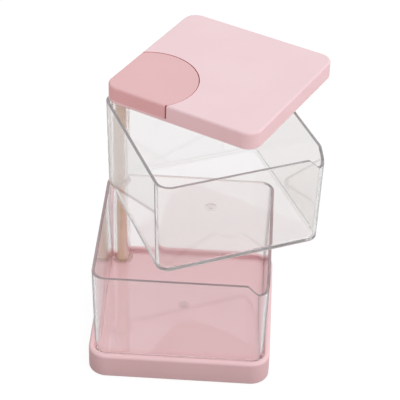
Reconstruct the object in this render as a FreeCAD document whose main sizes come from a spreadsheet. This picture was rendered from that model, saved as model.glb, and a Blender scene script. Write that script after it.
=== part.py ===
import FreeCAD, Part
import math
import os
import re

import Sketcher

# A two-tier holder for cotton pads and swabs. Two equal clear boxes and a lid are threaded on one
# upright rod in their rear left corner, and the upper box and the lid swing out about it. The base
# tray holds the lower box. Millimetres, origin at the centre of the base's underside, X to the
# right, Y to the back, Z up.

SIZES = [
    # the clear boxes, both from one mould
    ("box_width", 100.0, "outside width and depth at the rim"),
    ("box_height", 58.75, "from the underside to the rim"),
    ("box_wall", 1.8, "side walls"),
    ("box_floor", 2.0, "floor"),
    ("box_draft", 1.2, "mould draft of the walls, in degrees"),
    ("box_inner_round", 1.8, "round between the walls and the floor, inside"),
    ("box_heel_round", 1.6, "round under the walls, outside"),
    ("rim_round", 0.45, "rounds on both edges of the rim"),
    ("box_stand", 0.1, "gap between the lower box's underside and the base's floor"),
    ("box_inset", 8.6, "from the outer faces to the rod's axis, and the corner radius"),
    ("gate_radius", 3.4, "dimple under the floor where the mould is filled"),
    ("gate_depth", 0.4, "depth of the dimple"),
    ("gate_nub_radius", 1.3, "stub left in the dimple"),
    ("gate_nub_height", 0.3, "height of the stub"),
    ("box_angle", 23.85, "swing of the upper box as it stands, in degrees"),
    ("notch_start", 12.2, "where the finger notch starts, from the outer faces"),
    ("notch_depth", 6.6, "depth of the finger notch below the rim"),
    ("notch_slope", 46.0, "slope of the notch's sides, in degrees"),
    ("notch_round", 2.0, "rounds at the notch's start and foot"),
    # the post tube in each box
    ("tube_top_radius", 5.0, "tube at the rim"),
    ("tube_foot_radius", 5.3, "tube above its foot"),
    ("tube_foot_round", 1.0, "flare where the tube meets the floor"),
    ("web_radius", 7.0, "corner web that ties the tube to the walls"),
    # the rod and what is fastened to it
    ("rod_radius", 3.0, "rod"),
    ("rod_clearance", 0.10, "radial gap round the rod in tubes and washers"),
    ("rod_socket", 1.2, "depth of the rod's seat in the base's floor"),
    ("socket_clearance", 0.05, "radial gap round the rod in its seat and in the lid"),
    ("tapped_depth", 9.0, "tapped hole in each end of the rod"),
    ("thread_radius", 1.5, "screw thread"),
    ("thread_clearance", 0.03, "radial gap of the screws in the tapped holes"),
    ("thread_reach", 7.0, "how far a screw goes into the rod"),
    ("head_radius", 2.9, "screw head"),
    ("head_height", 2.0, "screw head"),
    ("head_round", 0.6, "round on the screw head's rim"),
    ("recess_width", 0.9, "arms of the cross recess in the screw heads"),
    ("recess_length", 3.4, "cross recess, from tip to tip"),
    ("recess_depth", 1.1, "cross recess"),
    ("washer_radius", 3.9, "steel washers"),
    ("washer_thickness", 0.5, "steel washers"),
    ("slip_radius", 4.8, "plastic slip washers between the turning parts"),
    ("slip_thickness", 0.5, "plastic slip washers"),
    ("turn_gap", 0.05, "gap at each face that turns on another"),
    ("spring_radius", 4.6, "disc spring under the top washer"),
    ("spring_thickness", 0.3, "disc spring"),
    ("spring_rise", 0.2, "height of the disc spring's cone"),
    # the base tray and its bottom plate
    ("base_height", 15.2, "from the resting surface to the top of the rim"),
    ("base_lip", 3.1, "thickness of the raised rim"),
    ("base_seat", 3.5, "how deep the lower box sits in the rim"),
    ("seat_clearance", 0.6, "gap between the lower box's underside and the rim"),
    ("base_floor", 2.4, "tray floor"),
    ("base_skirt", 2.2, "side wall below the floor"),
    ("lip_round", 1.8, "round on the rim's outer edge"),
    ("lip_inner_round", 0.7, "round on the rim's inner edge"),
    ("base_heel_round", 0.8, "round on the lower edge"),
    ("plate_thickness", 1.6, "plates that close the base and the lid from below"),
    ("plate_clearance", 0.15, "gap round the plates"),
    ("rib_thickness", 1.3, "ribs of the base and the lid"),
    ("rib_gap", 0.1, "gap between ribs, posts or boss and the plates"),
    ("base_rib_pitch", 20.0, "spacing of the base's ribs"),
    ("boss_radius", 5.8, "screw boss under the rod"),
    ("bore_radius", 4.2, "counterbore of the screw boss"),
    ("boss_web", 4.2, "boss material between the rod and the screw's washer"),
    ("post_radius", 2.9, "posts that take the plates' pins"),
    ("post_inset", 12.5, "posts, from the outer faces"),
    ("boss_step", 15.0, "posts beside the screw boss, from where the corner's post would stand"),
    ("pin_radius", 1.5, "pins of the plates and of the corner cap"),
    ("pin_length", 3.5, "pins of the plates"),
    ("pin_clearance", 0.04, "radial gap of the pins in their posts"),
    ("pin_end_gap", 0.5, "air beyond the tip of a pin"),
    # the lid and its bottom plate
    ("lid_width", 99.3, "outside width and depth"),
    ("lid_inset", 7.5, "from the lid's outer faces to the rod's axis"),
    ("lid_corner", 8.5, "corner radius"),
    ("lid_height", 10.8, "thickness of the lid"),
    ("lid_gap", 1.25, "from the upper box's rim to the lid's underside"),
    ("lid_angle", 62.8, "swing of the lid as it stands, in degrees"),
    ("lid_skin", 2.0, "top of the lid"),
    ("lid_wall", 2.0, "sides of the lid"),
    ("lid_top_round", 1.3, "round on the top edge"),
    ("lid_heel_round", 0.5, "round on the lower edge"),
    ("lid_ledge", 2.0, "floor under the corner cap"),
    ("lid_boss_radius", 5.2, "ring under the lid round the rod"),
    ("lid_rib_depth", 3.5, "ribs under the lid's top"),
    ("lid_rib_first", 6.0, "first rib, from the wall beside the cap"),
    ("lid_rib_pitch", 14.0, "spacing of the lid's ribs"),
    ("arc_wall", 1.8, "curved wall beside the cap"),
    # the corner cap
    ("cap_centre", 18.5, "centre of the cap's curve, from the lid's outer faces"),
    ("cap_curve", 30.2, "radius of the lid's pocket for the cap"),
    ("cap_gap", 0.45, "gap between the cap and the lid along the curve"),
    ("cap_seat_gap", 0.05, "gap between the cap and the ledge"),
    ("cap_wall", 1.6, "sides and top of the cap"),
    ("cap_curve_round", 0.5, "round on the cap's curved top edge"),
    ("cap_socket", 3.4, "height of the sockets that take the cap's pins"),
    ("cap_pin_near", 8.0, "side sockets, from the nearer outer face"),
    ("cap_pin_far", 32.0, "side sockets, from the other outer face"),
    ("cap_pin_middle", 29.0, "middle socket, from both outer faces"),
]

ALIASES = {alias for alias, _, _ in SIZES}
SAME = 1e-4
OVERSHOOT = 1.0

doc = FreeCAD.newDocument("cotton_pad_holder")
sizes = doc.addObject("Spreadsheet::Sheet", "sizes")
for row, (alias, value, note) in enumerate(SIZES, start=1):
    sizes.set(f"A{row}", alias)
    sizes.set(f"B{row}", str(value))
    sizes.set(f"C{row}", note)
    sizes.setAlias(f"B{row}", alias)
doc.recompute()


# ---------------------------------------------------------------- formulas, sketches, features

def cells(formula):
    """The formula with the sheet's name before each size that it uses."""
    def named(word):
        return f"sizes.{word[0]}" if word[0] in ALIASES else word[0]

    return re.sub(r"[a-z_]+", named, formula)


def number(formula):
    """What the formula gives with the sheet's sizes."""
    result = sizes.evalExpression(cells(formula))
    return float(getattr(result, "Value", result))


def datum(body, role):
    return next(item for item in body.Origin.OriginFeatures if item.Role == role)


def new_body(label):
    body = doc.addObject("PartDesign::Body", label)
    body.Label = label
    return body


def new_sketch(body, name, lift="0", plane="XY_Plane"):
    """An empty sketch on one of the body's own planes, lifted along its normal."""
    sketch = body.newObject("Sketcher::SketchObject", name)
    sketch.AttachmentSupport = [(datum(body, plane), "")]
    sketch.MapMode = "FlatFace"
    sketch.setExpression(".AttachmentOffset.Base.z", cells(lift))
    return sketch


def bind(sketch, kind, places, name, formula):
    """A named dimension of a sketch, driven by a formula."""
    index = sketch.addConstraint(Sketcher.Constraint(kind, *places, number(formula)))
    sketch.renameConstraint(index, name)
    sketch.setExpression(f"Constraints.{name}", cells(formula))


def circle(sketch, name, radius, x="0", y="0"):
    """A circle whose centre lies x to the right of the axis and y in front of it."""
    centre = FreeCAD.Vector(number(x), -number(y), 0)
    ring = sketch.addGeometry(Part.Circle(centre, FreeCAD.Vector(0, 0, 1), number(radius)))
    bind(sketch, "Radius", (ring,), f"{name}_radius", radius)
    if (x, y) == ("0", "0"):
        sketch.addConstraint(Sketcher.Constraint("Coincident", ring, 3, -1, 1))
    else:
        bind(sketch, "DistanceX", (-1, 1, ring, 3), f"{name}_x", x)
        bind(sketch, "DistanceY", (ring, 3, -1, 1), f"{name}_y", y)


def circles(sketch, radius, places):
    """Equal circles at places, each a pair of formulas: right of the axis and in front of it."""
    for index, (x, y) in enumerate(places):
        circle(sketch, f"ring{index}", radius, x, y)


def rounded_square(sketch, near, far, radius):
    """A square with round corners. It reaches near to the left of the origin and behind it, and
    far to the right of the origin and in front of it."""
    lo, hi, r = -number(near), number(far), number(radius)
    top, bottom = -lo, -hi
    V, line, turn = FreeCAD.Vector, Part.LineSegment, math.pi / 2
    up = V(0, 0, 1)

    def corner(x, y, quarter):
        ring = Part.Circle(V(x, y, 0), up, r)
        return Part.ArcOfCircle(ring, quarter * turn, (quarter + 1) * turn)

    sketch.addGeometry([
        line(V(lo + r, bottom, 0), V(hi - r, bottom, 0)),
        corner(hi - r, bottom + r, 3),
        line(V(hi, bottom + r, 0), V(hi, top - r, 0)),
        corner(hi - r, top - r, 0),
        line(V(hi - r, top, 0), V(lo + r, top, 0)),
        corner(lo + r, top - r, 1),
        line(V(lo, top - r, 0), V(lo, bottom + r, 0)),
        corner(lo + r, bottom + r, 2),
    ])
    for index in range(8):
        sketch.addConstraint(Sketcher.Constraint("Tangent", index, 2, (index + 1) % 8, 1))
    for index in (0, 4):
        sketch.addConstraint(Sketcher.Constraint("Horizontal", index))
    for index in (2, 6):
        sketch.addConstraint(Sketcher.Constraint("Vertical", index))
    for index in (3, 5, 7):
        sketch.addConstraint(Sketcher.Constraint("Equal", 1, index))
    bind(sketch, "Radius", (1,), "corner", radius)
    bind(sketch, "DistanceX", (6, 1, -1, 1), "left", near)
    bind(sketch, "DistanceX", (-1, 1, 2, 1), "right", far)
    bind(sketch, "DistanceY", (0, 1, -1, 1), "front", far)
    bind(sketch, "DistanceY", (-1, 1, 4, 1), "back", near)


def rectangle(sketch, left, right, low, high):
    """A rectangle between four signed coordinates, each a formula."""
    x0, x1, y0, y1 = (number(edge) for edge in (left, right, low, high))
    V, line = FreeCAD.Vector, Part.LineSegment
    spots = [V(x0, y0, 0), V(x1, y0, 0), V(x1, y1, 0), V(x0, y1, 0)]
    first = sketch.GeometryCount
    sketch.addGeometry([line(spots[index], spots[(index + 1) % 4]) for index in range(4)])
    for index in range(4):
        after = first + (index + 1) % 4
        sketch.addConstraint(Sketcher.Constraint("Coincident", first + index, 2, after, 1))
    for index in (0, 2):
        sketch.addConstraint(Sketcher.Constraint("Horizontal", first + index))
        sketch.addConstraint(Sketcher.Constraint("Vertical", first + index + 1))
    bind(sketch, "DistanceX", (-1, 1, first, 1), f"left{first}", left)
    bind(sketch, "DistanceX", (-1, 1, first + 1, 1), f"right{first}", right)
    bind(sketch, "DistanceY", (-1, 1, first, 1), f"low{first}", low)
    bind(sketch, "DistanceY", (-1, 1, first + 2, 1), f"high{first}", high)


def corner_disc(sketch, radius, edge, corner):
    """The lid's corner over the rod, as far as a disc about the cap's centre reaches: two sides,
    set in from the lid's outer faces by edge, the round corner and the disc's curve."""
    side = number(f"lid_inset - ({edge})")
    centre = number("cap_centre - lid_inset")
    r, curve = number(corner), number(radius)
    across = math.sqrt(curve**2 - (centre + side) ** 2)
    V, line, up = FreeCAD.Vector, Part.LineSegment, FreeCAD.Vector(0, 0, 1)
    start = math.atan2(-across, -side - centre)
    end = math.atan2(side + centre, across)
    sketch.addGeometry([
        line(V(centre + across, side, 0), V(r - side, side, 0)),
        Part.ArcOfCircle(Part.Circle(V(r - side, side - r, 0), up, r), math.pi / 2, math.pi),
        line(V(-side, side - r, 0), V(-side, -centre - across, 0)),
        Part.ArcOfCircle(Part.Circle(V(centre, -centre, 0), up, curve), start, end),
    ])
    sketch.addConstraint(Sketcher.Constraint("Tangent", 0, 2, 1, 1))
    sketch.addConstraint(Sketcher.Constraint("Tangent", 1, 2, 2, 1))
    sketch.addConstraint(Sketcher.Constraint("Coincident", 2, 2, 3, 1))
    sketch.addConstraint(Sketcher.Constraint("Coincident", 3, 2, 0, 1))
    sketch.addConstraint(Sketcher.Constraint("Horizontal", 0))
    sketch.addConstraint(Sketcher.Constraint("Vertical", 2))
    bind(sketch, "Radius", (1,), "corner", corner)
    bind(sketch, "Radius", (3,), "curve", radius)
    bind(sketch, "DistanceY", (-1, 1, 0, 1), "back", f"lid_inset - ({edge})")
    bind(sketch, "DistanceX", (2, 1, -1, 1), "left", f"lid_inset - ({edge})")
    bind(sketch, "DistanceX", (-1, 1, 3, 3), "centre_x", "cap_centre - lid_inset")
    bind(sketch, "DistanceY", (3, 3, -1, 1), "centre_y", "cap_centre - lid_inset")


def extrude(body, kind, sketch, length, down=False, taper=None):
    """A pad or a pocket of a sketch. A pad goes up and a pocket goes down, unless turned over."""
    before = body.Shape.Volume if body.Shape.Solids else 0.0
    feature = body.newObject(f"PartDesign::{kind}", f"{sketch.Name}_{kind.lower()}")
    feature.Profile = sketch
    feature.setExpression("Length", cells(length))
    feature.Reversed = down if kind == "Pad" else not down
    if taper:
        feature.setExpression("TaperAngle", cells(taper))
    sketch.Visibility = False
    doc.recompute()
    change = feature.Shape.Volume - before
    if abs(change) < SAME or (change > 0) != (kind == "Pad"):
        raise ValueError(f"{feature.Name} does not change the solid as a {kind} should")
    return feature


def pad(body, sketch, length, down=False, taper=None):
    return extrude(body, "Pad", sketch, length, down, taper)


def pocket(body, sketch, length, down=True, taper=None):
    return extrude(body, "Pocket", sketch, length, down, taper)


def revolve(body, sketch):
    """A solid of revolution about the sketch's upright axis."""
    feature = body.newObject("PartDesign::Revolution", f"{sketch.Name}_revolution")
    feature.Profile = sketch
    feature.ReferenceAxis = (sketch, ["V_Axis"])
    feature.Angle = 360.0
    sketch.Visibility = False
    doc.recompute()
    return feature


def round_edges(body, name, radius, wanted):
    """A fillet on every edge of the body for which wanted is true."""
    base = body.Tip
    edges = [f"Edge{index}" for index, edge in enumerate(base.Shape.Edges, start=1) if wanted(edge)]
    if not edges:
        raise ValueError(f"{name} found no edge")
    feature = body.newObject("PartDesign::Fillet", name)
    feature.Base = (base, edges)
    feature.setExpression("Radius", cells(radius))
    doc.recompute()
    return feature


def level(edge, height):
    """True for an edge that lies flat at a height."""
    box = edge.BoundBox
    return abs(box.ZMin - height) < SAME and abs(box.ZMax - height) < SAME


def reach(edge):
    """How far an edge's middle lies from the body's upright axis, along X or Y."""
    middle = edge.valueAt((edge.FirstParameter + edge.LastParameter) / 2)
    return max(abs(middle.x), abs(middle.y))


def profile(body, name, corners):
    """A closed profile on the XZ plane through corners, each a pair of formulas: distance from
    the axis and height."""
    sketch = new_sketch(body, name, plane="XZ_Plane")
    spots = [FreeCAD.Vector(number(out), number(up), 0) for out, up in corners]
    count = len(spots)
    sketch.addGeometry([Part.LineSegment(spots[i], spots[(i + 1) % count]) for i in range(count)])
    for index in range(count):
        sketch.addConstraint(Sketcher.Constraint("Coincident", index, 2, (index + 1) % count, 1))
    for index, (out, up) in enumerate(corners):
        bind(sketch, "DistanceX", (-1, 1, index, 1), f"out{index}", out)
        bind(sketch, "DistanceY", (-1, 1, index, 1), f"up{index}", up)
    return sketch


def place(body, x, y, z, angle="0", axis=(0, 0, 1)):
    """Puts a body's own origin at a place and turns it, about the upright unless told otherwise."""
    for letter, formula in (("x", x), ("y", y), ("z", z)):
        body.setExpression(f"Placement.Base.{letter}", cells(formula))
    if angle != "0":
        body.Placement.Rotation = FreeCAD.Rotation(FreeCAD.Vector(*axis), number(angle))
        body.setExpression("Placement.Rotation.Angle", cells(angle))
    return body


# ---------------------------------------------------------------- heights of the stack

ROD_X = "(box_inset - box_width / 2)"
ROD_Y = "(box_width / 2 - box_inset)"
FLOOR_TOP = "(base_height - base_seat)"
ROD_FOOT = f"({FLOOR_TOP} - rod_socket)"
LOWER_FOOT = f"({FLOOR_TOP} + box_stand)"
LOWER_RIM = f"({LOWER_FOOT} + box_height)"
UPPER_FOOT = f"({LOWER_RIM} + slip_thickness + turn_gap)"
UPPER_RIM = f"({UPPER_FOOT} + box_height)"
LID_FOOT = f"({UPPER_RIM} + lid_gap)"
LEDGE_TOP = f"({LID_FOOT} + lid_ledge)"
SPRING_FOOT = f"({LEDGE_TOP} + turn_gap)"
ROD_TOP = f"({SPRING_FOOT} + spring_rise + spring_thickness + turn_gap)"
ROD_HOLE = "(rod_radius + rod_clearance)"
NOTCH_FLAT = "(notch_start - notch_depth / tan(notch_slope * 1 deg))"


# ---------------------------------------------------------------- clear boxes

def clear_box(label):
    """One swing-out box: drafted walls on round corners, a floor, a post tube for the rod with a
    web to the corner, and a finger notch across the opposite corner of the rim. The body's own
    origin is on the rod's axis at the underside."""
    body = new_body(label)
    far = "box_width - box_inset"

    outside = new_sketch(body, f"{label}_outside", "box_height")
    rounded_square(outside, "box_inset", far, "box_inset")
    pad(body, outside, "box_height", down=True, taper="-box_draft")
    round_edges(body, f"{label}_heel", "box_heel_round", lambda edge: level(edge, 0))

    inside = new_sketch(body, f"{label}_inside", "box_height")
    rounded_square(inside, "box_inset - box_wall", f"{far} - box_wall", "box_inset - box_wall")
    pocket(body, inside, "box_height - box_floor", taper="-box_draft")
    floor_height = number("box_floor")
    round_edges(body, f"{label}_inner", "box_inner_round", lambda edge: level(edge, floor_height))

    notch_walls(body, label)
    rim, straight = number("box_height"), number("box_width / 2")

    def along_rim(edge):
        return level(edge, rim) and edge.Length > straight

    round_edges(body, f"{label}_rim", "rim_round", along_rim)
    gate = new_sketch(body, f"{label}_gate")
    circle(gate, "dimple", "gate_radius", "box_width / 2 - box_inset", "box_width / 2 - box_inset")
    pocket(body, gate, "gate_depth", down=False)
    nub = new_sketch(body, f"{label}_nub", "gate_depth")
    circle(nub, "nub", "gate_nub_radius", "box_width / 2 - box_inset", "box_width / 2 - box_inset")
    pad(body, nub, "gate_nub_height", down=True)

    tube = profile(body, f"{label}_tube", [
        ("0", "box_floor / 2"),
        ("tube_foot_radius + tube_foot_round", "box_floor / 2"),
        ("tube_foot_radius + tube_foot_round", "box_floor"),
        ("tube_foot_radius", "box_floor + tube_foot_round"),
        ("tube_top_radius", "box_height"),
        ("0", "box_height"),
    ])
    revolve(body, tube)
    web = new_sketch(body, f"{label}_web", "box_floor / 2")
    quarter_disc(web, "web_radius")
    pad(body, web, "box_height - box_floor / 2")
    bore = new_sketch(body, f"{label}_bore", "box_height")
    circle(bore, "bore", ROD_HOLE)
    pocket(body, bore, "box_height")
    return body


def quarter_disc(sketch, radius):
    """The quarter of a disc that points at the corner over the rod, left of it and behind it."""
    r = number(radius)
    V = FreeCAD.Vector
    sketch.addGeometry([
        Part.LineSegment(V(0, 0, 0), V(0, r, 0)),
        Part.ArcOfCircle(Part.Circle(V(0, 0, 0), V(0, 0, 1), r), math.pi / 2, math.pi),
        Part.LineSegment(V(-r, 0, 0), V(0, 0, 0)),
    ])
    sketch.addConstraint(Sketcher.Constraint("Coincident", 0, 1, -1, 1))
    sketch.addConstraint(Sketcher.Constraint("Coincident", 1, 3, -1, 1))
    for index in range(3):
        sketch.addConstraint(Sketcher.Constraint("Coincident", index, 2, (index + 1) % 3, 1))
    sketch.addConstraint(Sketcher.Constraint("Vertical", 0))
    sketch.addConstraint(Sketcher.Constraint("Horizontal", 2))
    bind(sketch, "Radius", (1,), "web", radius)


def notch_walls(body, label):
    """The finger notch, cut down through the front wall and through the right wall and meeting
    round the corner between them. Its starts and its feet are rounded."""
    for side, plane, sign in (("front", "XZ_Plane", 1), ("right", "YZ_Plane", -1)):
        sketch = new_sketch(body, f"{label}_notch_{side}", "box_width - box_inset", plane)
        notch_profile(sketch, sign)
        pocket(body, sketch, NOTCH_FLAT)
    far = number("box_width - box_inset")
    corners = {
        number("box_height"): far - number("notch_start"),
        number("box_height - notch_depth"): far - number(NOTCH_FLAT),
    }

    def at_notch(edge):
        middle = edge.valueAt((edge.FirstParameter + edge.LastParameter) / 2)
        across = min(abs(middle.x), abs(middle.y))
        return any(level(edge, up) and abs(across - out) < SAME for up, out in corners.items())

    round_edges(body, f"{label}_notch_rounds", "notch_round", at_notch)


def notch_profile(sketch, sign):
    """The notch seen square to a wall: a slope down from the rim, a level foot to the corner."""
    far, rim = number("box_width - box_inset"), number("box_height")
    start = far - number("notch_start")
    depth = number("notch_depth")
    foot = far - number(NOTCH_FLAT)
    V = FreeCAD.Vector
    spots = [(start, rim), (foot, rim - depth), (far + OVERSHOOT, rim - depth),
             (far + OVERSHOOT, rim + OVERSHOOT), (start, rim + OVERSHOOT)]
    spots = [V(sign * across, up, 0) for across, up in spots]
    sketch.addGeometry([Part.LineSegment(spots[i], spots[(i + 1) % 5]) for i in range(5)])
    for index in range(5):
        sketch.addConstraint(Sketcher.Constraint("Coincident", index, 2, (index + 1) % 5, 1))
    for index in (1, 3):
        sketch.addConstraint(Sketcher.Constraint("Horizontal", index))
    for index in (2, 4):
        sketch.addConstraint(Sketcher.Constraint("Vertical", index))
    bind(sketch, "DistanceY", (-1, 1, 0, 1), "rim", "box_height")
    bind(sketch, "DistanceY", (1, 1, 0, 1), "depth", "notch_depth")
    bind(sketch, "DistanceY", (0, 1, 4, 1), "over", f"{OVERSHOOT}")
    first = (-1, 1, 0, 1) if sign > 0 else (0, 1, -1, 1)
    last = (0, 1, 2, 1) if sign > 0 else (2, 1, 0, 1)
    run = (0, 1, 1, 1) if sign > 0 else (1, 1, 0, 1)
    bind(sketch, "DistanceX", first, "start", "box_width - box_inset - notch_start")
    bind(sketch, "DistanceX", run, "run", f"notch_start - {NOTCH_FLAT}")
    bind(sketch, "DistanceX", last, "beyond", f"notch_start + {OVERSHOOT}")


# ---------------------------------------------------------------- base

BASE_SIDE = f"(box_width / 2 - box_height * tan(box_draft * 1 deg) + seat_clearance + base_lip)"
BASE_CORNER = f"(box_inset - box_height * tan(box_draft * 1 deg) + seat_clearance + base_lip)"
FLOOR_FOOT = f"({FLOOR_TOP} - base_floor)"
RIB_FOOT = "(plate_thickness + rib_gap)"


def base_tray():
    """The pink tray: a skirt and a rounded rim round a raised floor, ribs under the floor, the
    rod's seat with its screw boss, and posts for the bottom plate's pins."""
    body = new_body("base_tray")
    outside = new_sketch(body, "tray_outside")
    rounded_square(outside, BASE_SIDE, BASE_SIDE, BASE_CORNER)
    pad(body, outside, "base_height")
    top = number("base_height")
    round_edges(body, "tray_lip", "lip_round", lambda edge: level(edge, top))
    round_edges(body, "tray_heel", "base_heel_round", lambda edge: level(edge, 0))

    seat = new_sketch(body, "tray_seat", "base_height")
    seat_side = f"{BASE_SIDE} - base_lip"
    rounded_square(seat, seat_side, seat_side, f"{BASE_CORNER} - base_lip")
    pocket(body, seat, "base_seat")
    inner = number(seat_side)

    def inner_lip(edge):
        return level(edge, top) and reach(edge) < inner + SAME

    round_edges(body, "tray_inner_lip", "lip_inner_round", inner_lip)

    hollow = new_sketch(body, "tray_hollow")
    skirt = f"{BASE_SIDE} - base_skirt"
    rounded_square(hollow, skirt, skirt, f"{BASE_CORNER} - base_skirt")
    pocket(body, hollow, FLOOR_FOOT, down=False)

    tray_ribs(body)
    posts = new_sketch(body, "tray_posts", RIB_FOOT)
    circles(posts, "post_radius", plate_pins())
    pad(body, posts, f"{FLOOR_FOOT} - {RIB_FOOT}")
    boss = new_sketch(body, "tray_boss", RIB_FOOT)
    circle(boss, "boss", "boss_radius", ROD_X, f"-{ROD_Y}")
    pad(body, boss, f"{FLOOR_FOOT} - {RIB_FOOT}")

    sockets = new_sketch(body, "tray_sockets", RIB_FOOT)
    circles(sockets, "pin_radius + pin_clearance", plate_pins())
    pocket(body, sockets, "pin_length - rib_gap + pin_end_gap", down=False)
    bore = new_sketch(body, "tray_bore", RIB_FOOT)
    circle(bore, "bore", "bore_radius", ROD_X, f"-{ROD_Y}")
    pocket(body, bore, f"{ROD_FOOT} - boss_web - {RIB_FOOT}", down=False)
    screw_way = new_sketch(body, "tray_screw_way", RIB_FOOT)
    circle(screw_way, "way", "thread_radius + rod_clearance", ROD_X, f"-{ROD_Y}")
    pocket(body, screw_way, f"{ROD_FOOT} - {RIB_FOOT}", down=False)
    rod_seat = new_sketch(body, "tray_rod_seat", FLOOR_TOP)
    circle(rod_seat, "seat", "rod_radius + socket_clearance", ROD_X, f"-{ROD_Y}")
    pocket(body, rod_seat, "rod_socket")
    return body


def tray_ribs(body):
    """Ribs both ways under the tray's floor, from skirt to skirt, spaced from the middle and
    clear of the round corners."""
    count = int(number(f"{BASE_SIDE} - {BASE_CORNER} - rib_thickness") // number("base_rib_pitch"))
    ends = (f"-({BASE_SIDE} - base_skirt / 2)", f"{BASE_SIDE} - base_skirt / 2")
    for way in ("across", "along"):
        sketch = new_sketch(body, f"tray_ribs_{way}", RIB_FOOT)
        for step in range(-count, count + 1):
            middle = f"{step} * base_rib_pitch"
            edges = (f"{middle} - rib_thickness / 2", f"{middle} + rib_thickness / 2")
            rectangle(sketch, *(ends + edges if way == "across" else edges + ends))
        pad(body, sketch, f"{FLOOR_FOOT} - {RIB_FOOT}")


def plate_pins():
    """Places of the bottom plate's pins: three corners of the tray, and two either side of the
    screw boss in the fourth."""
    out = f"({BASE_SIDE} - post_inset)"
    beside = f"({out} - boss_step)"
    return [(out, out), (out, f"-{out}"), (f"-{out}", out), (f"-{out}", f"-{beside}"),
            (f"-{beside}", f"-{out}")]


def base_plate():
    """The plate that closes the tray from below and covers the screw, with four pressed pins."""
    body = new_body("base_plate")
    outside = new_sketch(body, "plate_outside")
    side = f"{BASE_SIDE} - base_skirt - plate_clearance"
    rounded_square(outside, side, side, f"{BASE_CORNER} - base_skirt - plate_clearance")
    pad(body, outside, "plate_thickness")
    pins = new_sketch(body, "plate_pins", "plate_thickness")
    circles(pins, "pin_radius", plate_pins())
    pad(body, pins, "pin_length")
    return body


# ---------------------------------------------------------------- rod, screws and washers

def pivot_rod():
    """The metal rod through all the tubes, tapped at both ends."""
    body = new_body("pivot_rod")
    bar = new_sketch(body, "rod_bar")
    circle(bar, "bar", "rod_radius")
    pad(body, bar, f"{ROD_TOP} - {ROD_FOOT}")
    for end, lift, down in (("foot", "0", False), ("top", f"{ROD_TOP} - {ROD_FOOT}", True)):
        tap = new_sketch(body, f"rod_{end}_tap", lift)
        circle(tap, "tap", "thread_radius + thread_clearance")
        pocket(body, tap, "tapped_depth", down=down)
    return place(body, ROD_X, ROD_Y, ROD_FOOT)


def pan_screw(label, under_head):
    """A pan head machine screw, head up, its own origin under the head. under_head is the length
    below the head."""
    body = new_body(label)
    shank = new_sketch(body, f"{label}_shank")
    circle(shank, "shank", "thread_radius")
    pad(body, shank, under_head, down=True)
    head = new_sketch(body, f"{label}_head")
    circle(head, "head", "head_radius")
    pad(body, head, "head_height")
    top = number("head_height")
    round_edges(body, f"{label}_crown", "head_round", lambda edge: level(edge, top))
    arms = (("across", "recess_length", "recess_width"), ("along", "recess_width", "recess_length"))
    for way, wide, deep in arms:
        recess = new_sketch(body, f"{label}_recess_{way}", "head_height")
        rectangle(recess, f"-{wide} / 2", f"{wide} / 2", f"-{deep} / 2", f"{deep} / 2")
        pocket(body, recess, "recess_depth")
    return body


def washer(label, radius, hole, thickness):
    body = new_body(label)
    ring = new_sketch(body, f"{label}_ring")
    circle(ring, "rim", radius)
    circle(ring, "hole", hole)
    pad(body, ring, thickness)
    return body


def disc_spring():
    """A slightly conical spring washer that keeps the stack tight, so the tiers stay where they
    are turned."""
    body = new_body("disc_spring")
    profile_sketch = profile(body, "spring_profile", [
        (ROD_HOLE, "spring_rise"),
        ("spring_radius", "0"),
        ("spring_radius", "spring_thickness"),
        (ROD_HOLE, "spring_rise + spring_thickness"),
    ])
    revolve(body, profile_sketch)
    return body


def fasteners():
    """The screw into each end of the rod with its steel washer, and the washers between tiers."""
    screw_hole = "thread_radius + rod_clearance"
    seat = f"({ROD_FOOT} - boss_web - washer_thickness)"
    base_screw = pan_screw("base_screw", "washer_thickness + boss_web + thread_reach")
    place(base_screw, ROD_X, ROD_Y, seat, "180", axis=(1, 0, 0))
    lid_screw = pan_screw("lid_screw", "washer_thickness + thread_reach")
    place(lid_screw, ROD_X, ROD_Y, f"{ROD_TOP} + washer_thickness")
    for label, height in (("base_washer", seat), ("lid_washer", ROD_TOP)):
        steel = washer(label, "washer_radius", screw_hole, "washer_thickness")
        place(steel, ROD_X, ROD_Y, height)
    for label, height in (("tier_slip_washer", LOWER_RIM), ("lid_slip_washer", UPPER_RIM)):
        slip = washer(label, "slip_radius", ROD_HOLE, "slip_thickness")
        place(slip, ROD_X, ROD_Y, height)
    place(disc_spring(), ROD_X, ROD_Y, SPRING_FOOT)


# ---------------------------------------------------------------- lid

LID_FAR = "(lid_width - lid_inset)"


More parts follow.
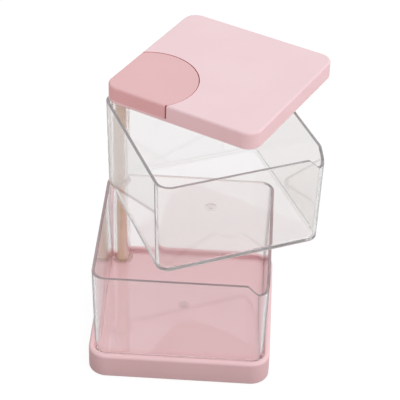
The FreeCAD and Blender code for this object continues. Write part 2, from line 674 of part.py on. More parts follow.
def lid_shell():
    """The pale lid: a rounded square shell, open below, with a pocket over the rod for the corner
    cap. The pocket has a ledge for a floor and a curved wall. Ribs run under the top."""
    body = new_body("lid_shell")
    outside = new_sketch(body, "lid_outside")
    rounded_square(outside, "lid_inset", LID_FAR, "lid_corner")
    pad(body, outside, "lid_height")
    top = number("lid_height")
    round_edges(body, "lid_crown", "lid_top_round", lambda edge: level(edge, top))
    round_edges(body, "lid_heel", "lid_heel_round", lambda edge: level(edge, 0))

    hollow = new_sketch(body, "lid_hollow")
    hollow_outline(hollow, "lid_wall", "lid_corner - lid_wall", "cap_curve + arc_wall")
    pocket(body, hollow, "lid_height - lid_skin", down=False)

    for way in ("across", "along"):
        sketch = new_sketch(body, f"lid_ribs_{way}", "lid_height - lid_skin - lid_rib_depth")
        for low, high in lid_rib_lines():
            ends = ("-lid_inset + lid_wall / 2", f"{LID_FAR} - lid_wall / 2")
            if way == "across":
                rectangle(sketch, *ends, f"-({high})", f"-({low})")
            else:
                rectangle(sketch, low, high, f"-({ends[1]})", f"-({ends[0]})")
        pad(body, sketch, "lid_rib_depth")

    posts = new_sketch(body, "lid_posts", "plate_thickness + rib_gap")
    circles(posts, "post_radius", liner_pins())
    pad(body, posts, "lid_height - lid_skin - plate_thickness - rib_gap")
    sockets = new_sketch(body, "lid_sockets", "plate_thickness + rib_gap")
    circles(sockets, "pin_radius + pin_clearance", liner_pins())
    pocket(body, sockets, "pin_length - rib_gap + pin_end_gap", down=False)

    cap_pocket = new_sketch(body, "lid_cap_pocket", "lid_height")
    circle(cap_pocket, "curve", "cap_curve", "cap_centre - lid_inset", "cap_centre - lid_inset")
    pocket(body, cap_pocket, "lid_height - lid_ledge")
    cap_sockets = new_sketch(body, "lid_cap_sockets", "lid_ledge")
    circles(cap_sockets, "post_radius", cap_pins())
    pad(body, cap_sockets, "cap_socket")
    cap_holes = new_sketch(body, "lid_cap_holes", "lid_ledge + cap_socket")
    circles(cap_holes, "pin_radius + pin_clearance", cap_pins())
    pocket(body, cap_holes, "cap_socket")

    ring = new_sketch(body, "lid_ring")
    circle(ring, "ring", "lid_boss_radius")
    pad(body, ring, "lid_gap - slip_thickness - turn_gap", down=True)
    rod_way = new_sketch(body, "lid_rod_way", "lid_ledge")
    circle(rod_way, "way", "rod_radius + socket_clearance")
    pocket(body, rod_way, "lid_ledge + lid_gap")
    return place(body, ROD_X, ROD_Y, LID_FOOT, "lid_angle")


def hollow_outline(sketch, wall, corner, curve):
    """The lid's outline set in by a wall, less a disc about the cap's centre: three round corners,
    four sides and the disc's curve, which bends into the outline."""
    back = number(f"lid_inset - ({wall})")
    far = number(f"{LID_FAR} - ({wall})")
    middle = number("cap_centre - lid_inset")
    r, bend = number(corner), number(curve)
    across = math.sqrt(bend**2 - (middle + back) ** 2)
    V, line, up = FreeCAD.Vector, Part.LineSegment, FreeCAD.Vector(0, 0, 1)
    turn = math.pi / 2

    def round_corner(x, y, quarter):
        return Part.ArcOfCircle(Part.Circle(V(x, y, 0), up, r), quarter * turn, (quarter + 1) * turn)

    start = math.atan2(-across, -middle - back)
    end = math.atan2(middle + back, across)
    sketch.addGeometry([
        line(V(-back, -middle - across, 0), V(-back, r - far, 0)),
        round_corner(r - back, r - far, 2),
        line(V(r - back, -far, 0), V(far - r, -far, 0)),
        round_corner(far - r, r - far, 3),
        line(V(far, r - far, 0), V(far, back - r, 0)),
        round_corner(far - r, back - r, 0),
        line(V(far - r, back, 0), V(middle + across, back, 0)),
        Part.ArcOfCircle(Part.Circle(V(middle, -middle, 0), up, bend), start, end),
    ])
    for index in range(6):
        sketch.addConstraint(Sketcher.Constraint("Tangent", index, 2, index + 1, 1))
    sketch.addConstraint(Sketcher.Constraint("Coincident", 6, 2, 7, 2))
    sketch.addConstraint(Sketcher.Constraint("Coincident", 7, 1, 0, 1))
    for index in (0, 4):
        sketch.addConstraint(Sketcher.Constraint("Vertical", index))
    for index in (2, 6):
        sketch.addConstraint(Sketcher.Constraint("Horizontal", index))
    for index in (3, 5):
        sketch.addConstraint(Sketcher.Constraint("Equal", 1, index))
    bind(sketch, "Radius", (1,), "corner", corner)
    bind(sketch, "Radius", (7,), "curve", curve)
    bind(sketch, "DistanceX", (0, 1, -1, 1), "left", f"lid_inset - ({wall})")
    bind(sketch, "DistanceY", (-1, 1, 6, 1), "back", f"lid_inset - ({wall})")
    bind(sketch, "DistanceX", (-1, 1, 4, 1), "right", f"{LID_FAR} - ({wall})")
    bind(sketch, "DistanceY", (2, 1, -1, 1), "front", f"{LID_FAR} - ({wall})")
    bind(sketch, "DistanceX", (-1, 1, 7, 3), "centre_x", "cap_centre - lid_inset")
    bind(sketch, "DistanceY", (7, 3, -1, 1), "centre_y", "cap_centre - lid_inset")


def lid_rib_lines():
    """The two edges of each of the lid's ribs, from the rod's axis. The ribs fill the part of the
    lid that the cap's pocket leaves free."""
    first = "cap_centre - lid_inset + cap_curve + arc_wall + lid_rib_first"
    room = number(f"{LID_FAR} - lid_wall - rib_thickness - ({first})")
    count = int(room // number("lid_rib_pitch")) + 1
    middles = [f"{first} + {step} * lid_rib_pitch" for step in range(count)]
    return [(f"{middle} - rib_thickness / 2", f"{middle} + rib_thickness / 2") for middle in middles]


def liner_pins():
    """Places of the liner's pins: near the lid's three free corners."""
    near, far = "post_inset - lid_inset", f"{LID_FAR} - post_inset"
    return [(far, near), (far, far), (near, far)]


def cap_pins():
    """Places of the cap's pins: near its two ends and behind the middle of its curve."""
    near, far = "cap_pin_near - lid_inset", "cap_pin_far - lid_inset"
    middle = "cap_pin_middle - lid_inset"
    return [(far, near), (near, far), (middle, middle)]


def lid_liner():
    """The plate that closes the lid from below, flush with its edge, with three pressed pins."""
    body = new_body("lid_liner")
    outside = new_sketch(body, "liner_outside")
    wall = "lid_wall + plate_clearance"
    curve = "cap_curve + arc_wall + plate_clearance"
    hollow_outline(outside, wall, f"lid_corner - ({wall})", curve)
    pad(body, outside, "plate_thickness")
    pins = new_sketch(body, "liner_pins", "plate_thickness")
    circles(pins, "pin_radius", liner_pins())
    pad(body, pins, "pin_length")
    return place(body, ROD_X, ROD_Y, LID_FOOT, "lid_angle")


def corner_cap():
    """The deeper pink cap that fills the lid's corner over the rod and hides its screw: a shell
    with three pins that push into the sockets on the ledge."""
    body = new_body("corner_cap")
    foot = "cap_seat_gap"
    outside = new_sketch(body, "cap_outside", foot)
    corner_disc(outside, "cap_curve - cap_gap", "0", "lid_corner")
    height = "lid_height - lid_ledge - cap_seat_gap"
    pad(body, outside, height)
    top = number("lid_height - lid_ledge")

    curve = number("cap_curve - cap_gap")

    def curved(edge):
        return level(edge, top) and abs(getattr(edge.Curve, "Radius", 0) - curve) < SAME

    def outer(edge):
        return level(edge, top) and not curved(edge)

    round_edges(body, "cap_crown", "lid_top_round", outer)
    round_edges(body, "cap_curve_edge", "cap_curve_round", curved)
    hollow = new_sketch(body, "cap_hollow", foot)
    corner_disc(hollow, "cap_curve - cap_gap - cap_wall", "cap_wall", "lid_corner - cap_wall")
    pocket(body, hollow, f"{height} - cap_wall", down=False)
    pins = new_sketch(body, "cap_pins", "lid_height - lid_ledge - cap_wall")
    circles(pins, "pin_radius", cap_pins())
    pad(body, pins, "lid_height - lid_ledge - cap_wall - pin_end_gap", down=True)
    return place(body, ROD_X, ROD_Y, LEDGE_TOP, "lid_angle")


# ---------------------------------------------------------------- the holder

base_tray()
base_plate()
pivot_rod()
fasteners()
place(clear_box("lower_box"), ROD_X, ROD_Y, LOWER_FOOT)
place(clear_box("upper_box"), ROD_X, ROD_Y, UPPER_FOOT, "box_angle")
lid_shell()
lid_liner()
corner_cap()
doc.recompute()

failed = [item.Name for item in doc.Objects if "Invalid" in item.State or "Error" in item.State]
if failed:
    raise RuntimeError(f"these objects failed: {failed}")
parts = [item for item in doc.Objects if item.TypeId == "PartDesign::Body"]
for part in parts:
    if part.Shape.isNull() or not part.Shape.isValid() or len(part.Shape.Solids) != 1:
        raise RuntimeError(f"{part.Label} is not one valid solid")
os.makedirs("parts", exist_ok=True)
for part in parts:
    part.Shape.exportStep(os.path.join("parts", f"{part.Label}.step"))
    print(part.Label, round(part.Shape.Volume / 1000, 3), "cm3")
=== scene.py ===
import math

import bpy
from mathutils import Matrix, Vector

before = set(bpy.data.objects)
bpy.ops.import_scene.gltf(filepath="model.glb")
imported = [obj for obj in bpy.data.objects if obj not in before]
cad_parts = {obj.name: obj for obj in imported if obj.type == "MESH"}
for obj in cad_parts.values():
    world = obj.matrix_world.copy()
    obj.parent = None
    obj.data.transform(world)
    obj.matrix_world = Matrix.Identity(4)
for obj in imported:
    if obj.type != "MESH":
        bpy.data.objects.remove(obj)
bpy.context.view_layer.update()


# ---------------------------------------------------------------- tray
# The tray that carries the holder, and the plate that closes it from below. Both are moulded in
# pale pink ABS with a fine spark-eroded grain; the plate is pressed in on its five pins.

class Socket:
    """A shader socket. Arithmetic on it adds Math nodes."""

    def __init__(self, material, output):
        self.material = material
        self.output = output

    def math(self, operation, *values):
        return self.material.node("ShaderNodeMath", {"operation": operation}, values)

    def __add__(self, other):
        return self.math("ADD", self, other)

    __radd__ = __add__

    def __mul__(self, other):
        return self.math("MULTIPLY", self, other)

    __rmul__ = __mul__

    def __sub__(self, other):
        return self.math("SUBTRACT", self, other)

    def __rsub__(self, other):
        return self.math("SUBTRACT", other, self)

    def __abs__(self):
        return self.math("ABSOLUTE", self)

    def within(self, low, high):
        """0 below low and 1 above high, with a soft change between them."""
        settings = {"interpolation_type": "SMOOTHSTEP"}
        values = {"Value": self, "From Min": low, "From Max": high}
        return self.material.node("ShaderNodeMapRange", settings, values)


class Finish:
    """A material whose nodes are made one by one from their type, settings and socket values."""

    def __init__(self, owner):
        owner.use_nodes = True
        self.owner = owner
        self.tree = owner.node_tree
        self.tree.nodes.clear()

    def node(self, kind, settings, values, output=0):
        made = self.tree.nodes.new(kind)
        for key, value in settings.items():
            setattr(made, key, value)
        for key, value in values.items() if isinstance(values, dict) else enumerate(values):
            if isinstance(value, Socket):
                self.tree.links.new(value.output, made.inputs[key])
            else:
                made.inputs[key].default_value = value
        return Socket(self, made.outputs[output]) if made.outputs else made

    def place(self):
        """Where a point lies in metres, on a piece as it stands at rest."""
        return self.node("ShaderNodeTexCoord", {}, {}, "Object")

    def normal(self):
        """Which way a piece's surface faces as it stands at rest."""
        return self.node("ShaderNodeTexCoord", {}, {}, "Normal")

    def along(self, vector, axis):
        """A vector's length along X, Y or Z."""
        return self.node("ShaderNodeSeparateXYZ", {}, [vector], axis)

    def vector(self, operation, *values, output="Vector"):
        """Arithmetic on vectors. Lengths, distances and dot products come out at "Value"."""
        return self.node("ShaderNodeVectorMath", {"operation": operation}, values, output)

    def noise(self, waves, detail, stretch=None):
        """Noise with a number of waves to the metre, drawn out along Z where stretch says so."""
        where = self.place()
        if stretch:
            where = self.node("ShaderNodeMapping", {}, {"Vector": where, "Scale": (1, 1, stretch)})
        values = {"Vector": where, "Scale": waves, "Detail": detail}
        return self.node("ShaderNodeTexNoise", {}, values)

    def blend(self, factor, first, second):
        """A colour between two others."""
        settings = {"data_type": "RGBA"}
        return self.node("ShaderNodeMix", settings, {0: factor, 6: first, 7: second}, 2)

    def bump(self, height, strength):
        """A grain at most a tenth of a millimetre deep."""
        values = {"Height": height, "Strength": strength, "Distance": 0.0001}
        return self.node("ShaderNodeBump", {}, values)

    def body(self, values):
        """The shader of plastic, metal and clear plastic alike."""
        return self.node("ShaderNodeBsdfPrincipled", {}, values)

    def film(self, colour):
        """Lets light straight through and tints it."""
        return self.node("ShaderNodeBsdfTransparent", {}, {"Color": colour})

    def over(self, factor, first, second):
        """The second shader laid over the first where the factor is 1."""
        return self.node("ShaderNodeMixShader", {}, [factor, first, second])

    def surface(self, shader):
        self.node("ShaderNodeOutputMaterial", {}, {"Surface": shader})
        return self.owner


def paint(node, material):
    """Gives a piece its material in place of the plain one."""
    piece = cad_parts[node]
    piece.data.materials.clear()
    piece.data.materials.append(material)


def moulded(name, dark, light, shade=None, side_shade=None):
    """Satin moulded ABS: slow drifts of colour from the flow, a fine grain, and rubbed high spots
    in the gloss. Shade paints shade on it where it lies in a gap, and side_shade is a deeper
    colour painted on its side faces as shade."""
    finish = Finish(bpy.data.materials.new(name))
    drift = finish.noise(waves=28.0, detail=3.0)
    grain = finish.noise(waves=4200.0, detail=1.0)
    rubbed = finish.noise(waves=240.0, detail=4.0)
    colour = finish.blend(drift.within(0.3, 0.7), dark, light)
    # side faces painted a deeper colour, as shade
    if side_shade:
        tilt = finish.along(finish.normal(), "Z")
        colour = finish.blend(tilt.within(0.3, 0.8), side_shade, colour)
    if shade:
        colour = shade(finish, colour)
    values = {
        "Base Color": colour,
        "Roughness": 0.46 + 0.10 * rubbed.within(0.35, 0.7),
        "IOR": 1.5,
        "Specular IOR Level": 0.35,
        "Normal": finish.bump(grain, strength=0.10),
    }
    return finish.surface(finish.body(values))


TRAY_DARK = (0.865, 0.605, 0.627, 1)
TRAY_LIGHT = (0.885, 0.625, 0.647, 1)

tray_pink = moulded("tray_pink_abs", TRAY_DARK, TRAY_LIGHT)
for node in ("base_tray", "base_plate"):
    paint(node, tray_pink)


# ---------------------------------------------------------------- rod
# The round rod that everything turns on: drawn metal with a satin champagne plating, whose fine
# lines run along it. It stands in the tray's socket and is held by a screw from below.

CHAMPAGNE_DARK = (0.82, 0.705, 0.520, 1)
CHAMPAGNE_LIGHT = (0.90, 0.785, 0.600, 1)

plating = Finish(bpy.data.materials.new("champagne_plating"))
drawn_lines = plating.noise(waves=5200.0, detail=3.0, stretch=0.012)
clouds = plating.noise(waves=90.0, detail=2.0)
plating_values = {
    "Base Color": plating.blend(clouds.within(0.3, 0.7), CHAMPAGNE_DARK, CHAMPAGNE_LIGHT),
    "Metallic": 0.4,
    "Roughness": 0.30 + 0.16 * drawn_lines,
    "Normal": plating.bump(drawn_lines, strength=0.12),
}
plating.surface(plating.body(plating_values))
paint("pivot_rod", plating.owner)


# ---------------------------------------------------------------- screws and washers
# Pan head screws with a cross recess, flat washers and the disc spring, all zinc plated steel.
# The plating is a little cloudy and has a fine crystal grain.

ZINC_DARK = (0.62, 0.62, 0.61, 1)
ZINC_LIGHT = (0.72, 0.72, 0.70, 1)

zinc = Finish(bpy.data.materials.new("zinc_plate"))
spots = zinc.noise(waves=900.0, detail=3.0)
crystals = zinc.noise(waves=6000.0, detail=1.0)
zinc_values = {
    "Base Color": zinc.blend(spots.within(0.35, 0.65), ZINC_DARK, ZINC_LIGHT),
    "Metallic": 1.0,
    "Roughness": 0.28 + 0.20 * spots,
    "Normal": zinc.bump(crystals, strength=0.08),
}
zinc.surface(zinc.body(zinc_values))
for node in ("base_screw", "base_washer", "lid_screw", "lid_washer", "disc_spring"):
    paint(node, zinc.owner)


# ---------------------------------------------------------------- slip washers
# Punched rings of unpigmented nylon, slightly waxy, one under the upper box and one under the
# lid, so that plastic doesn't rub on plastic.

NYLON_DARK = (0.80, 0.77, 0.70, 1)
NYLON_LIGHT = (0.86, 0.83, 0.77, 1)

nylon = Finish(bpy.data.materials.new("natural_nylon"))
waxy = nylon.noise(waves=700.0, detail=3.0)
nylon_values = {
    "Base Color": nylon.blend(waxy.within(0.3, 0.7), NYLON_DARK, NYLON_LIGHT),
    "Roughness": 0.42 + 0.12 * waxy,
    "Normal": nylon.bump(waxy, strength=0.08),
}
nylon.surface(nylon.body(nylon_values))
for node in ("tier_slip_washer", "lid_slip_washer"):
    paint(node, nylon.owner)


# ---------------------------------------------------------------- clear boxes
# Two boxes from one mould in clear polystyrene, polished outside and in. The lower one sits in
# the tray's rim and the upper one turns on the rod. Light that enters the walls is led up to the
# rim, which is a little frosted and painted greyer than the faces as shade.

ROD_AXIS = Vector((-0.0414, 0.0414, 0.0))
BOX_HEIGHT = 0.05875
NOTCH_DEPTH = 0.0066
FROST_DEPTH = 0.0005
STYRENE_IOR = 1.57
WHITE = (1, 1, 1, 1)

# Shares from 0 to 1 say how much of an effect a box shows. Colours tint the light there.
BOXES = {
    "lower_box": {
        "rim": 0.07055,  # height of the rim above the table
        "turn": 0.0,  # how far the box is swung out
        "haze": ((0.950, 0.940, 0.940, 1), (0.970, 0.960, 0.960, 1)),  # the plastic itself
        "slant": (0.62, 0.54, 0.55, 1),  # faces seen at a slant, darker for the longer path through the plastic and with painted shade
        "corner": (0.38, 0.36, 0.36, 1),  # upright corners, painted shade
        "edge": (0.36, 0.285, 0.295, 1),  # frosted rim, painted grey as shade
        "rim_slope": (0.3, 0.6),  # how level the rim is where its frost begins and is full
        "rear": 0.75,  # rear wall, painted clearer against the light
        "far": 0.0,  # wall farthest from the rod, painted dimmer as shade
        "gate": 0.75,  # mark under the floor
        "heel_highlight": 0.0,  # painted highlight on the round under the walls
        "mist": 0.0,  # misty tube
        "seated": 0.8,  # foot in the tray's rim
        "leak_from": -0.001,  # where the floor begins to leak, from its underside
        "floor_leak": 0.40,  # more light leaks along the floor
        "rim_leak": 0.0,  # and below the rim
    },
    "upper_box": {
        "rim": 0.12985,
        "turn": math.radians(23.85),
        "haze": ((0.945, 0.940, 0.930, 1), (0.965, 0.960, 0.950, 1)),
        "slant": (1.0, 0.985, 0.975, 1),
        "corner": (0.50, 0.48, 0.48, 1),
        "edge": (0.36, 0.35, 0.36, 1),
        "rim_slope": (0.65, 0.90),
        "rear": 0.0,
        "far": 1.0,
        "gate": 0.4,
        "heel_highlight": 0.85,
        "mist": 0.12,
        "seated": 0.0,
        "leak_from": 0.0019,
        "floor_leak": 0.05,
        "rim_leak": 0.35,
    },
}

# painted light and shade on the clear walls: the rear wall and level faces painted clearer, the
# far wall painted dimmer
REAR_LIGHT_TINT = (1.0, 0.995, 0.995, 1)
LEVEL_LIGHT_TINT = (1.0, 0.99, 0.985, 1)
FAR_SHADE_TINT = (0.90, 0.885, 0.865, 1)
GATE_TINT = (0.55, 0.50, 0.48, 1)
# frost for the misty tube, and a painted highlight on the round under the walls
PALE_FROST_AND_HIGHLIGHT = (0.86, 0.84, 0.83, 1)
# a painted soft shade where the tube's flare and the rear rim thin out
THIN_SHADE_TINT = (0.90, 0.86, 0.84, 1)
FOOT_TINT = (0.95, 0.92, 0.92, 1)
DAYLIGHT_TINT = (0.983, 0.960, 0.964, 1)
RIM_FROST = 0.62
FLARE_SHARE = 0.75
WALL_LEAK = 0.09
FAR_FOOT_LEAK = 0.45

# Each pair says between which two distances a place fades in or out, in metres. These are measured
# from the middle of the lower box,
REAR_WALL = (0.042, 0.047)
SEATED_ENDS = (0.0450, 0.0456)
SEATED_SIDES = (0.0435, 0.0445)
# these from the rod's axis, along the wall or all round,
FAR_WALL = (0.0875, 0.0885)
FLARE_EDGE = (0.0066, 0.0072)
MIST_EDGE = (0.0066, 0.0070)
TUBE_EDGE = (0.0072, 0.0078)
# this from the middle of the gate mark,
GATE_EDGE = (0.0010, 0.0045)
# these upwards from the underside of the floor,
GATE_TOP = (0.0009, 0.0012)
HEEL_TOP = (0.0013, 0.0016)
FLARE_TOP = (0.0030, 0.0042)
SEAT_TOP = (0.0034, 0.0038)
FAR_FOOT_TOP = (0.0040, 0.0045)
FLOOR_BAND_TOP = (0.0050, 0.0055)
FLOOR_BAND_FADE = 0.0002
# and these upwards from the rim
RIM_BAND = (-0.0024, -0.0020)
REAR_RIM = (-0.0006, -0.0004)


def styrene(name, box):
    """Clear polystyrene for one of the two boxes, from its row in BOXES."""
    clear = Finish(bpy.data.materials.new(name))
    rim = box["rim"]
    foot = rim - BOX_HEIGHT
    height = clear.along(clear.place(), "Z")

    def above(start, low, high):
        return height.within(start + low, start + high)

    # which way a face looks, how far it is off the rod, and which wall of the box it is
    upward = clear.along(clear.node("ShaderNodeNewGeometry", {}, {}, "Normal"), "Z")
    slant = clear.node("ShaderNodeLayerWeight", {}, {"Blend": 0.5}, "Facing")
    right = Vector((math.cos(box["turn"]), math.sin(box["turn"]), 0))
    behind = Vector((-math.sin(box["turn"]), math.cos(box["turn"]), 0))
    flat = clear.vector("MULTIPLY", clear.place(), (1, 1, 0))
    off_rod = clear.vector("DISTANCE", flat, ROD_AXIS, output="Value")
    from_rod = clear.vector("SUBTRACT", flat, ROD_AXIS)
    reach = clear.vector("DOT_PRODUCT", from_rod, right, output="Value")
    far_wall = reach.within(*FAR_WALL) * box["far"]
    rear_wall = clear.along(clear.place(), "Y").within(*REAR_WALL) * box["rear"]
    off_middle = clear.vector("ABSOLUTE", clear.place())
    seated_sides = clear.along(off_middle, "X").within(*SEATED_SIDES) * box["seated"]
    seated_ends = clear.along(off_middle, "Y").within(*SEATED_ENDS) * box["seated"]

    # the haze of the plastic; then painted light and shade on its faces: the rear wall and the
    # level faces painted clearer, faces seen at a slant darker (partly the longer path through the
    # plastic, partly painted shade), and the wall farthest from the rod painted dimmer
    colour = clear.blend(clear.noise(waves=60.0, detail=2.0), *box["haze"])
    colour = clear.blend(rear_wall, colour, REAR_LIGHT_TINT)
    colour = clear.blend(slant.within(0.45, 0.95), colour, box["slant"])
    colour = clear.blend(abs(upward).within(0.6, 0.9), colour, LEVEL_LIGHT_TINT)
    colour = clear.blend(far_wall, colour, FAR_SHADE_TINT)

    # painted shade on the upright corners, for the mostly dim room that they gather light from
    to_right = clear.vector("DOT_PRODUCT", clear.normal(), right, output="Value")
    to_back = clear.vector("DOT_PRODUCT", clear.normal(), behind, output="Value")
    corner = abs(to_right * to_back).within(0.02, 0.15)
    corner = corner * off_rod.within(*TUBE_EDGE) * slant.within(0.45, 0.75)
    colour = clear.blend(corner, colour, box["corner"])

    # the mark under the middle of the floor, where the mould is filled
    middle = ROD_AXIS - ROD_AXIS.x * right - ROD_AXIS.y * behind
    off_gate = clear.vector("DISTANCE", flat, middle, output="Value")
    gate = (1 - off_gate.within(*GATE_EDGE)) * (1 - above(foot, *GATE_TOP))
    colour = clear.blend(gate * box["gate"], colour, GATE_TINT)
    clear_values = {
        "Base Color": colour,
        "Roughness": 0.0,
        "IOR": STYRENE_IOR,
        "Transmission Weight": 1.0,
    }
    wall = clear.body(clear_values)

    # the frosted rim, which runs down into the finger notch, painted grey as shade; and a painted
    # highlight on the round under the walls
    frost = clear.body({"Base Color": box["edge"], "Roughness": 0.35})
    at_rim = above(rim - NOTCH_DEPTH, -FROST_DEPTH, -FROST_DEPTH / 2)
    at_rim = at_rim * upward.within(*box["rim_slope"]) * (1 - rear_wall)
    wall = clear.over(at_rim * RIM_FROST, wall, frost)
    pale = clear.body({"Base Color": PALE_FROST_AND_HIGHLIGHT, "Roughness": 0.4})
    at_heel = (1 - upward.within(-0.3, -0.02)) * upward.within(-0.98, -0.9)
    at_heel = at_heel * (1 - above(foot, *HEEL_TOP))
    wall = clear.over(at_heel * box["heel_highlight"], wall, pale)

    # light that is caught in the walls leaks out a little, and more along the floor and the rim
    backfacing = clear.node("ShaderNodeNewGeometry", {}, {}, "Backfacing")
    mirroring = clear.node("ShaderNodeFresnel", {}, {"IOR": STYRENE_IOR})
    caught = mirroring.within(0.9, 1.0) * backfacing
    floor_band = above(foot + box["leak_from"], 0, FLOOR_BAND_FADE)
    floor_band = floor_band * (1 - above(foot, *FLOOR_BAND_TOP)) * (1 - seated_sides)
    rim_band = above(rim, *RIM_BAND)
    far_foot = far_wall * (1 - above(foot, *FAR_FOOT_TOP))
    leak = WALL_LEAK + floor_band * box["floor_leak"] + rim_band * box["rim_leak"]
    leak = leak + far_foot * FAR_FOOT_LEAK
    wall = clear.over(caught * leak, wall, clear.film(WHITE))

    # the tube's flare and the rear rim thin out against the light, with a painted soft shade
    thin = clear.film(THIN_SHADE_TINT)
    flare = (1 - off_rod.within(*FLARE_EDGE)) * (1 - above(foot, *FLARE_TOP))
    wall = clear.over(flare * FLARE_SHARE, wall, thin)
    wall = clear.over(rear_wall * above(rim, *REAR_RIM), wall, thin)

    # the tube is misty, and the foot melts into the tray where it is seated
    mist = (1 - off_rod.within(*MIST_EDGE)) * box["mist"]
    wall = clear.over(mist, wall, pale)
    foot_in_tray = seated_ends * (1 - above(foot, *SEAT_TOP))
    wall = clear.over(foot_in_tray, wall, clear.film(FOOT_TINT))

    # daylight falls through the walls onto the tray and the rod
    daylight = clear.film(DAYLIGHT_TINT)
    for kind in ("Is Diffuse Ray", "Is Shadow Ray"):
        wall = clear.over(clear.node("ShaderNodeLightPath", {}, {}, kind), wall, daylight)
    return clear.surface(wall)


for node, box in BOXES.items():
    paint(node, styrene(f"clear_styrene_{node}", box))


# ---------------------------------------------------------------- lid
# The lid's shell and the plate that closes it from below, moulded in pink ABS a little paler than
# the tray's. The shell has a pocket over the rod for the cap, and a fine gap is left between them.

LID_TURN = math.radians(62.8)
CAP_REACH = 0.0346
SIDE_FACE = (-0.0067, -0.0062)
GAP_END_EDGE = (0.0003, 0.0007)
LEDGE_TOP = (0.1331, 0.1333)
LID_DARK = (0.860, 0.640, 0.670, 1)
LID_LIGHT = (0.875, 0.660, 0.690, 1)
# painted shade in the gap round the cap, and a darker painted shadow on its upright ends
GAP_SHADE_RED = (0.80, 0.24, 0.26, 1)
GAP_END_SHADOW = (0.42, 0.12, 0.14, 1)


def cap_gap_painted_shade(finish, colour):
    """Paints red shade on the plastic in the gap round the cap, where little open air reaches, and
    a darker painted shadow on the gap's two upright ends. They lie on the lid's sides, CAP_REACH
    from the rod's axis, and stop on the ledge under the cap."""
    settings = {"samples": 12}
    open_air = finish.node("ShaderNodeAmbientOcclusion", settings, {"Distance": 0.0012}, "AO")
    colour = finish.blend(1 - open_air.within(0.2, 0.7), colour, GAP_SHADE_RED)
    one_side = (math.cos(LID_TURN), math.sin(LID_TURN), 0)
    other_side = (math.sin(LID_TURN), -math.cos(LID_TURN), 0)
    from_rod = finish.vector("SUBTRACT", finish.place(), ROD_AXIS)
    first = finish.vector("DOT_PRODUCT", from_rod, one_side, output="Value")
    second = finish.vector("DOT_PRODUCT", from_rod, other_side, output="Value")
    off_gap = abs(first.math("MAXIMUM", first, second) - CAP_REACH)
    on_side = 1 - first.math("MINIMUM", first, second).within(*SIDE_FACE)
    above_ledge = finish.along(finish.place(), "Z").within(*LEDGE_TOP)
    gap_end_shadow = (1 - off_gap.within(*GAP_END_EDGE)) * on_side * above_ledge
    return finish.blend(gap_end_shadow, colour, GAP_END_SHADOW)


lid_pink = moulded("lid_pink_abs", LID_DARK, LID_LIGHT, cap_gap_painted_shade)
for node in ("lid_shell", "lid_liner"):
    paint(node, lid_pink)


# ---------------------------------------------------------------- corner cap
# The cap over the rod, moulded in a deeper pink and pressed into the lid on three pins. It hides
# the upper screw.

CAP_DARK = (0.775, 0.478, 0.488, 1)
CAP_LIGHT = (0.795, 0.493, 0.503, 1)
# painted shade: the cap's side faces, deeper and redder
CAP_SIDE_SHADE = (0.80, 0.470, 0.480, 1)

deep_pink = moulded("deep_pink_abs", CAP_DARK, CAP_LIGHT, cap_gap_painted_shade, CAP_SIDE_SHADE)
paint("corner_cap", deep_pink)


# ---------------------------------------------------------------- table and light
# A white table top that runs out of sight, under a soft studio sky that is brightest overhead
# and on the holder's right. The camera sees both as plain white. What the boxes mirror and let
# through is a little dimmer.

HALF_SIDE = 6.0
# the table as the camera sees it
TABLE_GLOW = 0.89
TABLE_MATT = (0.15, 0.15, 0.15, 1)
# as pieces mirror it, and with more glow as clear pieces let it through
MIRRORED_GLOW = 0.36
PASSED_GLOW = 0.24
DIM_TINT = (0.99, 0.975, 0.98, 1)
DIM_MATT = (0.34, 0.35, 0.355, 1)
# and the light that it throws back, with a painted shadow where the holder stands
NEAR_BOUNCE_SHADOW = (0.27, 0.18, 0.17, 1)
OPEN_BOUNCE = (0.92, 0.72, 0.70, 1)
# the sky's light at the skyline, and what is added overhead and on the right
SKY_LEVEL = 0.64
SKY_RISE = 0.54
SKY_EAST = 0.49
SKY_LEFT = (1.03, 0.93, 0.92, 1)
SKY_RIGHT = (0.98, 0.965, 0.99, 1)
SKY_MIRRORED = (0.935, 0.915, 0.920, 1)

corners = [(-HALF_SIDE, -HALF_SIDE, 0), (HALF_SIDE, -HALF_SIDE, 0)]
corners += [(HALF_SIDE, HALF_SIDE, 0), (-HALF_SIDE, HALF_SIDE, 0)]
table_mesh = bpy.data.meshes.new("table_top")
table_mesh.from_pydata(corners, [], [(0, 1, 2, 3)])
table = bpy.data.objects.new("table_top", table_mesh)
bpy.context.scene.collection.objects.link(table)


def rays(finish):
    """Which rays come from the camera, which have passed a clear piece, and which have done
    either or were mirrored."""
    straight, mirrored, passed = [
        finish.node("ShaderNodeLightPath", {}, {}, kind)
        for kind in ("Is Camera Ray", "Is Glossy Ray", "Is Transmission Ray")
    ]
    settings = {"operation": "ADD", "use_clamp": True}
    return straight, passed, finish.node("ShaderNodeMath", settings, [straight + mirrored, passed])


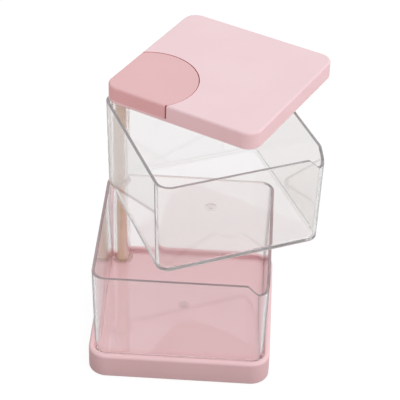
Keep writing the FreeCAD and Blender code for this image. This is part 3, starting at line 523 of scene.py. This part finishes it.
top = Finish(bpy.data.materials.new("table_white"))
straight, passed, seen = rays(top)
glow = top.node("ShaderNodeEmission", {}, {"Color": WHITE, "Strength": TABLE_GLOW})
matt = top.node("ShaderNodeBsdfDiffuse", {}, {"Color": TABLE_MATT})
plain_top = top.node("ShaderNodeAddShader", {}, [glow, matt])
dim = {"Color": DIM_TINT, "Strength": MIRRORED_GLOW + PASSED_GLOW * passed}
dim_glow = top.node("ShaderNodeEmission", {}, dim)
dim_matt = top.node("ShaderNodeBsdfDiffuse", {}, {"Color": DIM_MATT})
dim_top = top.node("ShaderNodeAddShader", {}, [dim_glow, dim_matt])
shown_top = top.over(straight, dim_top, plain_top)
from_middle = top.vector("LENGTH", top.place(), output="Value")
bounce = top.blend(from_middle.within(0.06, 0.26), NEAR_BOUNCE_SHADOW, OPEN_BOUNCE)
lit_top = top.node("ShaderNodeBsdfDiffuse", {}, {"Color": bounce})
table_mesh.materials.append(top.surface(top.over(seen, lit_top, shown_top)))

sky = Finish(bpy.data.worlds.new("studio"))
bpy.context.scene.world = sky.owner
straight, passed, seen = rays(sky)
towards = sky.node("ShaderNodeTexCoord", {}, {}, "Generated")
east = sky.along(towards, "X")
high = sky.along(towards, "Z")
low_tint = sky.blend(east.within(0.1, 0.8), SKY_LEFT, SKY_RIGHT)
tint = sky.blend(high.within(-0.1, 0.7), low_tint, WHITE)
soft = {"Color": tint, "Strength": SKY_LEVEL + SKY_RISE * high + SKY_EAST * east}
plain = {"Color": sky.blend(straight, SKY_MIRRORED, WHITE), "Strength": 1.0}
light = sky.node("ShaderNodeBackground", {}, soft)
backdrop = sky.node("ShaderNodeBackground", {}, plain)
sky.node("ShaderNodeOutputWorld", {}, {"Surface": sky.over(seen, light, backdrop)})
bpy.context.scene.view_settings.view_transform = "Standard"


# ---------------------------------------------------------------- camera
# A long lens above the front of the holder and a little to its right, tipped by a small angle.
# The depth of field is off, so that all of the holder is sharp.

MM = 0.001
AZIMUTH, ELEVATION, ROLL = 0.0378, 0.6400, 0.0324

position = Vector((34.15, -698.74, 612.21)) * MM
forward = Vector((
    -math.sin(AZIMUTH) * math.cos(ELEVATION),
    math.cos(AZIMUTH) * math.cos(ELEVATION),
    -math.sin(ELEVATION),
))
right = Vector((math.cos(AZIMUTH), math.sin(AZIMUTH), 0.0))
up = right.cross(forward)
tipped_right = right * math.cos(ROLL) + up * math.sin(ROLL)
tipped_up = up * math.cos(ROLL) - right * math.sin(ROLL)
lens = bpy.data.cameras.new("camera")
lens.sensor_width = 36.0
lens.lens = 137.556
lens.clip_start = 0.01
camera = bpy.data.objects.new("camera", lens)
bpy.context.scene.collection.objects.link(camera)
aim = Matrix((tipped_right, tipped_up, -forward)).transposed().to_4x4()
camera.matrix_world = Matrix.Translation(position) @ aim
bpy.context.scene.camera = camera
